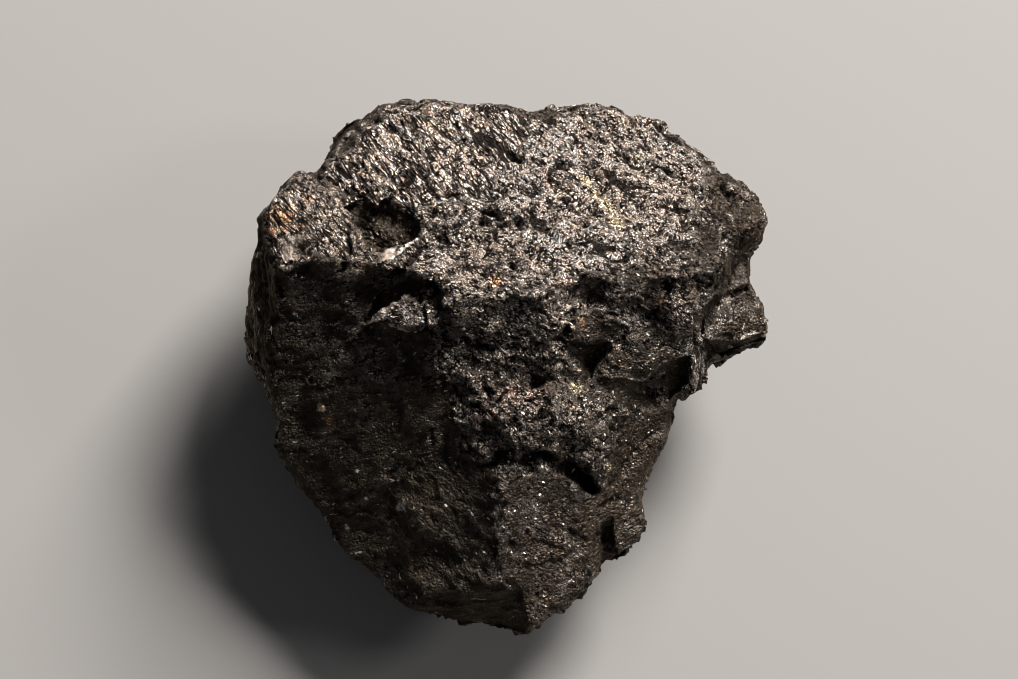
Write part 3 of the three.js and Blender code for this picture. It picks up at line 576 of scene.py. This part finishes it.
def inside(plan, outline):
    """Distance inwards from a closed outline, below zero outside it."""
    within = np.zeros(len(plan), bool)
    for (ax, ay), (bx, by) in zip(outline, [*outline[1:], outline[0]]):
        if ay != by:
            crosses = (ay > plan[:, 1]) != (by > plan[:, 1])
            within ^= crosses & (plan[:, 0] < ax + (plan[:, 1] - ay) / (by - ay) * (bx - ax))
    return distance_to_path(plan, [*outline, outline[0]]) * np.where(within, 1, -1)


def patch_share(plan, at, radii, turn):
    """1 in the middle of an ellipse, 0 from its edge outwards."""
    c, s = math.cos(math.radians(turn)), math.sin(math.radians(turn))
    out = plan - at
    across = np.column_stack([out @ (c, s) / radii[0], out @ (-s, c) / radii[1]])
    return 1 - smoothstep(np.linalg.norm(across, axis=1), *PATCH_EDGE)


def read(group, field, width, kind=float):
    """A row of numbers for each point or edge of a mesh."""
    values = np.zeros(len(group) * width, kind)
    group.foreach_get(field, values)
    return values.reshape(-1, width)


def move(mesh, points):
    mesh.vertices.foreach_set("co", ((points + TABLE_ORIGIN) * MM).ravel())
    mesh.update()


def store(mesh, name, kind, values):
    """Keeps a value for each point where the material can read it."""
    attribute = mesh.attributes.new(name, kind, "POINT")
    field = "vector" if kind == "FLOAT_VECTOR" else "value"
    attribute.data.foreach_set(field, values.astype(np.float32).ravel())


def all_zones():
    """The zones above, and those round the sides and the broken back."""
    zones = list(ZONES)
    for i in range(SIDE_ZONES):
        turn = 2 * math.pi * i / SIDE_ZONES
        x, y = math.cos(turn), math.sin(turn)
        side = dict(
            at=(SIDE_RADIUS * x, SIDE_RADIUS * y, SIDE_HEIGHT),
            facing=(x, y, 0),
            streak=math.degrees(turn) + SIDE_STREAK + SIDE_STREAK_TURN * (i % 2),
        )
        back = dict(
            at=(BACK_RADIUS * x, BACK_RADIUS * y, BACK_HEIGHT),
            facing=(BACK_LEAN * x, BACK_LEAN * y, BACK_FACING_DOWN),
            streak=BACK_STREAK_TURN * i,
        )
        zones += [dict(side, **SIDE), dict(back, **BACK)]
    return zones


def own_zones(zones, points, normals):
    """The number of each point's zone, and that zone's values at each point."""
    ragged = ZONE_RAGGED * noise(points / ZONE_WAVE, SEEDS["zones"])
    cost = [
        np.linalg.norm(points - zone["at"], axis=1) / ZONE_REACH
        + FACING_COST * (1 - normals @ unit(np.array(zone["facing"])))
        + ragged * (1 if i % 2 else -1)
        for i, zone in enumerate(zones)
    ]
    own = np.argmin(cost, axis=0)
    return own, {name: np.array([zone[name] for zone in zones])[own] for name in ZONE_VALUES}


def grain_places(zones, own, points):
    """Each point's place in its zone's directions: along the grain, across it and out."""
    place = np.zeros_like(points)
    for i, zone in enumerate(zones):
        facing = unit(np.array(zone["facing"]))
        turn = math.radians(zone["streak"])
        along = np.array([math.cos(turn), math.sin(turn), 0])
        along = unit(along - facing * (along @ facing))
        axes = np.array([along, np.cross(facing, along), facing])
        mine = own == i
        place[mine] = points[mine] @ axes.T
    return place


def make_fine_mesh(node):
    """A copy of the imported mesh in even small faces, halved once more where they look up."""
    source = node.data.copy()
    bm = bmesh.new()
    bm.from_mesh(source)
    bmesh.ops.remove_doubles(bm, verts=bm.verts, dist=WELD * MM)
    bm.to_mesh(source)
    bm.free()
    piece = bpy.data.objects.new("specimen", source)
    bpy.context.scene.collection.objects.link(piece)
    remesh = piece.modifiers.new("even", "REMESH")
    remesh.mode = "VOXEL"
    remesh.voxel_size = VOXEL * MM
    evaluated = piece.evaluated_get(bpy.context.evaluated_depsgraph_get())
    fine = bpy.data.meshes.new_from_object(evaluated)
    piece.modifiers.clear()
    piece.data = fine

    bm = bmesh.new()
    bm.from_mesh(fine)
    edges = {edge for face in bm.faces if face.normal.z > UP_FACING for edge in face.edges}
    bmesh.ops.subdivide_edges(bm, edges=list(edges), cuts=1, use_grid_fill=True)
    bmesh.ops.triangulate(bm, faces=[face for face in bm.faces if len(face.verts) > 4])
    bm.to_mesh(fine)
    bm.free()
    return piece


def smoothed(points, edges, rounds):
    """The points, each drawn halfway to the mean of its neighbours in every round."""
    count = np.bincount(edges.ravel(), minlength=len(points))[:, None]
    for _ in range(rounds):
        total = np.zeros_like(points)
        np.add.at(total, edges[:, 0], points[edges[:, 1]])
        np.add.at(total, edges[:, 1], points[edges[:, 0]])
        points = 0.5 * points + 0.5 * total / count
    return points


def cut_facets(points, normals, frost_and_shade):
    """The points with their facets cut, and how calm, how smooth and how frosted each one is, the
    frost painting light and shade too.
    """
    plan = ragged_plan(points, SEEDS["facets"], **FACET_RAGGED)
    upward = smoothstep(normals[:, 2], *FACET_FACING)
    height, calm, smooth = points[:, 2].copy(), np.zeros(len(points)), np.zeros(len(points))
    for facet in FACETS:
        depth = inside(plan, facet["outline"])
        mine = (depth > 0) & (upward > 0.5)
        middle = points[mine, :2].mean(axis=0)
        across = np.column_stack([points[:, :2] - middle, np.ones(len(points))])
        fitted = np.linalg.lstsq(across[mine], points[mine, 2], rcond=None)[0]
        plane = across @ (fitted + [*facet["rise"], 0])
        share = smoothstep(depth, -FACET_EDGE / 2, FACET_EDGE / 2) * upward
        change = facet["flat"] * (plane - height) + facet["lift"]
        if facet.get("pit"):
            change = np.minimum(change, 0)
        height += share * change
        calm = np.maximum(calm, share * facet.get("calm", facet["flat"]))
        smooth = np.maximum(smooth, share * facet.get("smooth", 0))
        frost_and_shade = frost_and_shade + share * (facet.get("frost_and_shade", frost_and_shade) - frost_and_shade)
    return np.column_stack([points[:, :2], height]), calm, smooth, frost_and_shade


def etched_relief(points, place, zone):
    """Height of the etched surface over the smooth one, and how far each point is in a crevice."""
    long, wide = zone["grain"].T
    bend = [noise(points / SHORT_WAVE, SEEDS["bend"] + i) for i in range(3)]
    bent = place + GRAIN_BEND * np.column_stack(bend)
    depth = bent[:, 2] / (GRAIN_DEPTH * wide)
    sized = np.column_stack([bent[:, 0] / long, bent[:, 1] / wide, depth])
    small, small_seam = blocks(sized, SEEDS["small_blocks"], **SMALL_BLOCKS)
    large, large_seam = blocks(sized, SEEDS["large_blocks"], **LARGE_BLOCKS)
    fine = noise(sized * FINE_SCALE, SEEDS["fine"])
    height = zone["relief"] * (SMALL_HEIGHT * small + LARGE_HEIGHT * large + FINE_HEIGHT * fine)

    spread = np.column_stack([bent[:, 0] * wide / long, bent[:, 1], bent[:, 2]])
    line = np.abs(noise(spread / zone["gap"][:, None], SEEDS["cracks"]))
    unbroken = smoothstep(noise(points / LONG_WAVE, SEEDS["unbroken"]), *UNBROKEN)
    crack = (1 - smoothstep(line, *CRACK_RANGE)) * unbroken
    open_seams = smoothstep(noise(points / SEAM_WAVE, SEEDS["seams"]), *OPEN_SEAMS)
    crevice = np.maximum(crack, open_seams * np.maximum(small_seam, large_seam))
    waves = LONG_WAVE_HEIGHT * noise(points / LONG_WAVE, SEEDS["long_wave"])
    waves += SHORT_WAVE_HEIGHT * noise(points / SHORT_WAVE, SEEDS["short_wave"])
    height += waves * zone["relief"] / TYPICAL_RELIEF - zone["crack"] * crevice
    return height, crevice


def marks(points, normals):
    """Height of the edges, lines and small pits, and how far each point is worn pale, partly as a
    painted highlight on the edges.
    """
    plan = ragged_plan(points, SEEDS["marks"], **MARK_RAGGED)
    height = np.zeros(len(points))
    worn_and_glint = np.zeros(len(points))
    for line in LINES + EDGES:
        share = 1 - smoothstep(distance_to_path(plan, line["path"]), 0, line["width"])
        height += line["height"] * share
        worn_and_glint = np.maximum(worn_and_glint, line.get("pale", 0) * share)
    for patch in PATCHES:
        height += patch["height"] * patch_share(plan, patch["at"], patch["radii"], patch["turn"])
    upward = smoothstep(normals[:, 2], *MARK_FACING)
    return height * upward, worn_and_glint * upward


def make_specimen(frame):
    """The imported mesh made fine, cut and etched, with what the material reads at each point."""
    piece = make_fine_mesh(frame["nodes"][NODE])
    mesh = piece.data
    points = read(mesh.vertices, "co", 3) / MM - TABLE_ORIGIN
    normals = read(mesh.vertices, "normal", 3)
    edges = read(mesh.edges, "vertices", 2, int)
    zones = all_zones()
    own, zone = own_zones(zones, points, normals)
    relief, frost_and_shade = (smoothed(zone[name][:, None], edges, BLEND_SMOOTHING) for name in BLENDED)

    soft = smoothed(points, edges, BASE_SMOOTHING)
    softer = smoothed(soft, edges, CALM_SMOOTHING)
    even = 1 - smoothstep(relief, *CALM_RANGE)
    points = np.where(points[:, 2:] < RESTING, points, soft + even * (softer - soft))
    points, calm, smooth, frost_and_shade = cut_facets(points, normals, frost_and_shade[:, 0])
    move(mesh, points)

    normals = read(mesh.vertices, "normal", 3)
    place = grain_places(zones, own, points)
    height, crevice = etched_relief(points, place, zone)
    marked, worn_and_glint = marks(points, normals)
    height = height * (1 - FACET_CALM * calm) + marked
    crevice *= 1 - FACET_CALM * calm
    height *= smoothstep(points[:, 2], *BASE_RANGE)
    moved = points + normals * height[:, None]
    moved[:, 2] = np.maximum(moved[:, 2], 0)
    move(mesh, moved)

    store(mesh, "grain_place", "FLOAT_VECTOR", place / zone["grain"][:, [0, 1, 1]])
    store(mesh, "relief", "FLOAT", height)
    store(mesh, "worn_and_glint", "FLOAT", worn_and_glint)
    store(mesh, "smooth", "FLOAT", smooth)
    store(mesh, "crevice", "FLOAT", crevice * smoothstep(zone["crack"], *CRACK_SHOWS))
    store(mesh, "coarseness", "FLOAT", zone["relief"] / TYPICAL_RELIEF)
    store(mesh, "frost_and_shade", "FLOAT", frost_and_shade)
    mesh.shade_smooth()
    return piece


class Nodes:
    """Adds shader nodes to a material, each one fed by others or by plain values."""

    COLOURS, MIXED = (6, 7), 2  # a Mix node's sockets for colour

    def __init__(self, name):
        self.material = bpy.data.materials.new(name)
        self.material.use_nodes = True
        self.tree = self.material.node_tree
        self.shader = self.tree.nodes["Principled BSDF"]

    def add(self, kind, settings=None, **inputs):
        """A node, its inputs given by name or, as _0, by number."""
        node = self.tree.nodes.new(kind)
        for name, value in (settings or {}).items():
            setattr(node, name, value)
        for name, value in inputs.items():
            self.feed(node.inputs[int(name[1:]) if name[1:].isdigit() else name], value)
        return node

    def feed(self, socket, value):
        if isinstance(value, bpy.types.Node):
            value = value.outputs[0]
        if isinstance(value, bpy.types.NodeSocket):
            self.tree.links.new(value, socket)
        else:
            socket.default_value = value

    def math(self, operation, a, b=0.0, c=0.0):
        return self.add("ShaderNodeMath", dict(operation=operation), _0=a, _1=b, _2=c)

    def times(self, a, b):
        return self.math("MULTIPLY", a, b)

    def largest(self, first, *others):
        for other in others:
            first = self.math("MAXIMUM", first, other)
        return first

    def vector(self, operation, *vectors, **others):
        numbered = {f"_{i}": vector for i, vector in enumerate(vectors)}
        return self.add("ShaderNodeVectorMath", dict(operation=operation), **numbered, **others)

    def attribute(self, name, output="Fac"):
        return self.add("ShaderNodeAttribute", dict(attribute_name=name)).outputs[output]

    def noise(self, vector, scale, detail=2.0):
        node = self.add("ShaderNodeTexNoise", Vector=vector, Scale=scale, Detail=detail)
        return node.outputs["Fac"]

    def ramp(self, value, low, high, to_low=0.0, to_high=1.0):
        """A smooth step from to_low, where the value is low, to to_high, where it is high."""
        node = self.add(
            "ShaderNodeMapRange", dict(interpolation_type="SMOOTHSTEP"),
            _0=value, _1=low, _2=high, _3=to_low, _4=to_high,
        )
        return node.outputs[0]

    def mix(self, share, a, b):
        """The colour that lies a share of the way from a to b."""
        node = self.add("ShaderNodeMix", dict(data_type="RGBA"), _0=share)
        for socket, colour in zip(self.COLOURS, (a, b)):
            linked = isinstance(colour, bpy.types.NodeSocket)
            self.feed(node.inputs[socket], colour if linked else (*colour, 1))
        return node.outputs[self.MIXED]

    def channels(self, colour):
        return self.add("ShaderNodeSeparateColor", _0=colour).outputs

    def threads(self, vector, stretch, thin, thick, broken):
        """Thin lines that wander along the grain, broken where noise is low."""
        wander = self.noise(self.vector("MULTIPLY", vector, stretch), 1.0, 1.0)
        line = self.math("ABSOLUTE", self.math("SUBTRACT", wander, 0.5))
        unbroken = self.ramp(self.noise(vector, 0.45, 1.0), *broken)
        return self.times(self.ramp(line, thin, thick, 1.0, 0.0), unbroken)

    def grains(self, vector, scale, dome, tilt, step, metric):
        """Height of fine grains, each a tilted dome, the way to their edges, and their colours."""
        sized = self.vector("SCALE", vector, Scale=scale)
        kinds = (dict(feature=feature, distance=metric) for feature in ("F1", "F2"))
        cell, next_cell = (
            self.add("ShaderNodeTexVoronoi", kind, Vector=sized, Scale=1.0) for kind in kinds
        )
        own, distance = cell.outputs["Color"], cell.outputs["Distance"]
        out = self.vector("SUBTRACT", sized, cell.outputs["Position"])
        slope = self.vector("SUBTRACT", own, (0.5, 0.5, 0.5))
        lean = self.vector("DOT_PRODUCT", out, slope).outputs["Value"]
        height = self.times(lean, tilt)
        height = self.math("MULTIPLY_ADD", self.channels(own)[0], step, height)
        height = self.math("MULTIPLY_ADD", self.math("POWER", distance, 2.0), -dome, height)
        between = self.math("SUBTRACT", next_cell.outputs["Distance"], distance)
        return height, self.times(between, 0.5), own


def spot_mask(nodes, place, spots):
    """Where the spots of one colour lie in plan, each one ragged at its edge."""
    ragged = nodes.math("SUBTRACT", nodes.noise(place, STAIN_NOISE, 3.0), 0.5)
    total = 0.0
    for spot in spots:
        middle = [(a + b) * MM for a, b in zip((*spot["at"], 0), TABLE_ORIGIN)]
        flat = nodes.vector("MULTIPLY", nodes.vector("SUBTRACT", place, middle), (1, 1, 0))
        length = nodes.vector("LENGTH", flat).outputs["Value"]
        reach = nodes.math("DIVIDE", length, spot["radius"] * MM)
        edge = nodes.math("ADD", reach, nodes.times(ragged, STAIN_RAGGED))
        total = nodes.largest(nodes.ramp(edge, 0.55, 1.0, spot["strength"], 0.0), total)
    return total.outputs[0]


def openings(nodes, grain, coarse, frost_and_shade, large_edge, small_edge):
    """The gaps between grains, what is cut deep into them, and all that is black in them: painted
    shade in the gaps, chinks, slits, holes, cracks and deep pits.
    """
    wide = nodes.ramp(nodes.noise(grain, 0.5), 0.44, 0.62, 0.01, 0.21)
    gap = nodes.ramp(nodes.math("DIVIDE", large_edge, wide), 0.6, 1.0, 1.0, 0.0)
    chink = nodes.ramp(small_edge, 0.04, 0.15, 0.65, 0.0)
    slit = nodes.threads(grain, (0.16, 0.50, 0.50), 0.016, 0.050, (0.34, 0.44))
    streaky = nodes.times(nodes.ramp(coarse, 0.80, 1.00, 1.0, 0.2), nodes.ramp(frost_and_shade, 0.10, 0.40))
    slit = nodes.times(slit, streaky)
    holed = nodes.times(nodes.ramp(coarse, 0.80, 1.00, 0.3, 1.0), nodes.ramp(frost_and_shade, 0.15, 0.50))
    hole = nodes.times(nodes.ramp(nodes.noise(grain, 1.1, 3.0), 0.665, 0.70), holed)
    ragged = nodes.math("MULTIPLY_ADD", nodes.noise(grain, 4.0), 0.5, nodes.attribute("crevice"))
    crack = nodes.ramp(ragged, 0.90, 1.10)
    pit = nodes.ramp(nodes.attribute("relief"), -1.15, -0.60, 0.95, 0.0)
    fine = nodes.times(nodes.largest(gap, chink, slit), nodes.ramp(frost_and_shade, 0.02, 0.20, 0.5, 1.0))
    return gap, nodes.largest(slit, hole), nodes.largest(fine, crack, hole, pit)


def surface_colour(nodes, place, frost_and_shade, grit, hollow_shade, worn_and_glint, large_own, small_own):
    """Dark grains, grains paled by frost_and_shade, partly etching and partly painted light and
    shade, stains and spots of painted light, black openings of painted shade, glints, and edges worn
    pale with a painted highlight.
    """
    broad = nodes.noise(place, BROAD_NOISE, 3.0)
    dark = nodes.mix(nodes.ramp(broad, 0.35, 0.65), DARK, DARK_WARM)
    pale = nodes.mix(nodes.ramp(broad, 0.40, 0.62), PALE, WARM)
    pale = nodes.mix(nodes.ramp(small_own[0], 0.55, 0.95), pale, PINKISH)
    pale = nodes.mix(nodes.ramp(small_own[2], 0.65, 0.95), pale, BLUISH)
    flecks = nodes.ramp(nodes.noise(place, FLECK_NOISE), 0.57, 0.68, 0.0, 0.75)
    pale = nodes.mix(flecks, pale, BROWNISH)
    share = nodes.math("MULTIPLY_ADD", small_own[1], 0.6, nodes.times(large_own[1], 0.4))
    least = nodes.ramp(frost_and_shade, 0.30, 0.90, 0.0, 0.55)
    share = nodes.times(nodes.ramp(share, 0.10, 0.65, least, 1.0), frost_and_shade)
    colour = nodes.mix(share, dark, pale)
    for stain_and_light in STAINS_AND_LIGHT.values():
        colour = nodes.mix(spot_mask(nodes, place, stain_and_light["spots"]), colour, stain_and_light["tint"])
    # Darker where the fine grit bump is low: painted shade in its lows.
    colour = nodes.mix(nodes.ramp(grit, 0.34, 0.44, 0.45, 0.0), colour, GRIT_SHADE)
    colour = nodes.mix(hollow_shade, colour, HOLLOW_SHADE)
    glint = nodes.ramp(small_own[0], 0.978, 0.990)
    colour = nodes.mix(nodes.times(glint, nodes.ramp(large_own[2], 0.5, 0.7)), colour, SPARKLE)
    return nodes.mix(worn_and_glint, colour, WORN_GLINT)


def sphalerite():
    """Etched grains in black gaps of painted shade; pale where frost_and_shade is high, dark and dull
    where it is low, and that is painted light and shade as much as frost.
    """
    nodes = Nodes("sphalerite")
    place = nodes.add("ShaderNodeTexCoord").outputs["Object"]
    grain = nodes.attribute("grain_place", "Vector")
    rugged = nodes.math("SUBTRACT", 1.0, nodes.attribute("smooth"))
    coarse = nodes.times(nodes.attribute("coarseness"), rugged)
    patchy = nodes.ramp(nodes.noise(place, FROST_NOISE), 0.38, 0.62, 1.8, 0.6)
    frost_and_shade = nodes.math("POWER", nodes.attribute("frost_and_shade"), patchy)
    grit = nodes.noise(place, GRIT_NOISE, 1.0)

    warp = nodes.add("ShaderNodeTexNoise", Vector=grain, Scale=0.8, Detail=1.0).outputs["Color"]
    bent = nodes.vector("MULTIPLY_ADD", warp, (0.5, 0.5, 0.5), grain)
    large, large_edge, large_own = nodes.grains(bent, **LARGE_GRAINS)
    small, small_edge, small_own = nodes.grains(bent, **SMALL_GRAINS)
    large_own, small_own = nodes.channels(large_own), nodes.channels(small_own)
    streaks = nodes.noise(nodes.vector("MULTIPLY", grain, (0.2, 1.0, 1.0)), 5.0)

    gap, deep, black = openings(nodes, grain, coarse, frost_and_shade, large_edge, small_edge)
    hollow_shade = nodes.times(nodes.ramp(black, 0.0, 0.8), rugged)
    chipped = nodes.ramp(nodes.noise(place, WORN_NOISE), 0.42, 0.54)
    worn_and_glint = nodes.times(nodes.ramp(nodes.attribute("worn_and_glint"), 0.25, 0.80), chipped)
    colour = surface_colour(nodes, place, frost_and_shade, grit, hollow_shade, worn_and_glint, large_own, small_own)
    # Metallic over the dark base dulls the reflection of faces with little frost_and_shade: painted
    # shade.
    shade_dulling = nodes.times(nodes.ramp(frost_and_shade, 0.04, 0.34, 0.92, 0.0), nodes.math("SUBTRACT", 1.0, worn_and_glint))

    height = nodes.math("MULTIPLY_ADD", small, 0.55, large)
    height = nodes.math("MULTIPLY_ADD", gap, -0.35, height)
    height = nodes.math("MULTIPLY_ADD", deep, -0.8, height)
    height = nodes.times(height, coarse)
    height = nodes.math("MULTIPLY_ADD", streaks, 0.16, height)
    gritty = nodes.ramp(frost_and_shade, 0.04, 0.40, 0.85, 0.45)
    height = nodes.math("MULTIPLY_ADD", grit, gritty, height)

    inputs = nodes.shader.inputs
    nodes.feed(inputs["Base Color"], colour)
    # Metallic over a dark base takes the reflection away: painted shade in the hollows, and on the
    # faces with little frost_and_shade.
    nodes.feed(inputs["Metallic"], nodes.largest(nodes.times(hollow_shade, 0.95), shade_dulling))
    nodes.feed(inputs["Roughness"], nodes.ramp(small_own[2], 0.0, 0.6, 0.28, 0.62))
    bump = nodes.add("ShaderNodeBump", Strength=1.0, Distance=BUMP_DEPTH * MM, Height=height)
    nodes.feed(inputs["Normal"], bump)
    inputs["IOR"].default_value = IOR
    inputs["Specular Tint"].default_value = (*REFLECTION, 1)
    return nodes.material


def matt(name, colour):
    """A material of one colour with no gloss."""
    nodes = Nodes(name)
    nodes.shader.inputs["Base Color"].default_value = (*colour, 1)
    nodes.shader.inputs["Roughness"].default_value = 1.0
    nodes.shader.inputs["Specular IOR Level"].default_value = 0.0
    return nodes.material


def make_stage():
    """A pale floor that curves up far behind the specimen on every side."""
    bm = bmesh.new()
    rings = [(FLOOR_FLAT * share, 0.0) for share in FLOOR_RINGS]
    for step in range(FLOOR_STEPS):
        turn = math.pi / 2 * (step + 1) / FLOOR_STEPS
        rings.append((FLOOR_FLAT + FLOOR_BEND * math.sin(turn), FLOOR_BEND * (1 - math.cos(turn))))
    turns = [2 * math.pi * i / FLOOR_SIDES for i in range(FLOOR_SIDES)]
    made = [
        [bm.verts.new((radius * math.cos(turn), radius * math.sin(turn), height)) for turn in turns]
        for radius, height in rings
    ]
    bm.faces.new(made[0])
    for inner, outer in zip(made, made[1:]):
        for i in range(FLOOR_SIDES):
            j = (i + 1) % FLOOR_SIDES
            bm.faces.new((inner[i], outer[i], outer[j], inner[j]))
    mesh = bpy.data.meshes.new("floor")
    bm.to_mesh(mesh)
    bm.free()
    mesh.shade_smooth()
    mesh.materials.append(matt("floor", FLOOR_COLOUR))
    floor = bpy.data.objects.new("floor", mesh)
    bpy.context.scene.collection.objects.link(floor)


def make_light(name, towards, distance, size, power, colour):
    """A square soft light that faces the origin."""
    light = bpy.data.lights.new(name, "AREA")
    light.shape = "SQUARE"
    light.size = size
    light.energy = power
    light.color = colour
    lamp = bpy.data.objects.new(name, light)
    lamp.location = Vector(towards).normalized() * distance
    lamp.rotation_euler = Vector(towards).to_track_quat("Z", "Y").to_euler()
    bpy.context.scene.collection.objects.link(lamp)


def make_studio():
    make_stage()
    for light in LIGHTS:
        make_light(**light)
    world = bpy.data.worlds.new("studio")
    world.use_nodes = True
    background = world.node_tree.nodes["Background"].inputs
    background["Color"].default_value = (*WORLD_COLOUR, 1)
    background["Strength"].default_value = WORLD_STRENGTH
    bpy.context.scene.world = world
    bpy.context.scene.view_settings.view_transform = "Standard"
    bpy.context.scene.cycles.filter_width = PIXEL_FILTER


def make_camera():
    """Straight above the crystal faces, with their top edge up."""
    data = bpy.data.cameras.new("camera")
    data.lens, data.sensor_width = LENS, SENSOR
    data.clip_start, data.clip_end = CLIP
    camera = bpy.data.objects.new("camera", data)
    height = RIM_HEIGHT + FRAME_WIDTH * LENS / SENSOR
    camera.location = (Vector((*VIEW_CENTRE, height)) + Vector(TABLE_ORIGIN)) * MM
    bpy.context.scene.collection.objects.link(camera)
    bpy.context.scene.camera = camera


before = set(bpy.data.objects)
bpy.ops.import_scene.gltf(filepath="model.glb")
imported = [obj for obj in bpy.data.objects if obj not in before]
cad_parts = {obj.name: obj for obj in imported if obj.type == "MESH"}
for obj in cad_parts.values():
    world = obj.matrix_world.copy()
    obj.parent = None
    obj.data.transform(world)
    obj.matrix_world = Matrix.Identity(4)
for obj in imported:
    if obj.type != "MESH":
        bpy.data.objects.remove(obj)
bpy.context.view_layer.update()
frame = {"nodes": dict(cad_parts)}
specimen = make_specimen(frame)
specimen.data.materials.clear()
specimen.data.materials.append(sphalerite())
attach(specimen, "root")
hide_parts(NODE)
make_studio()
make_camera()
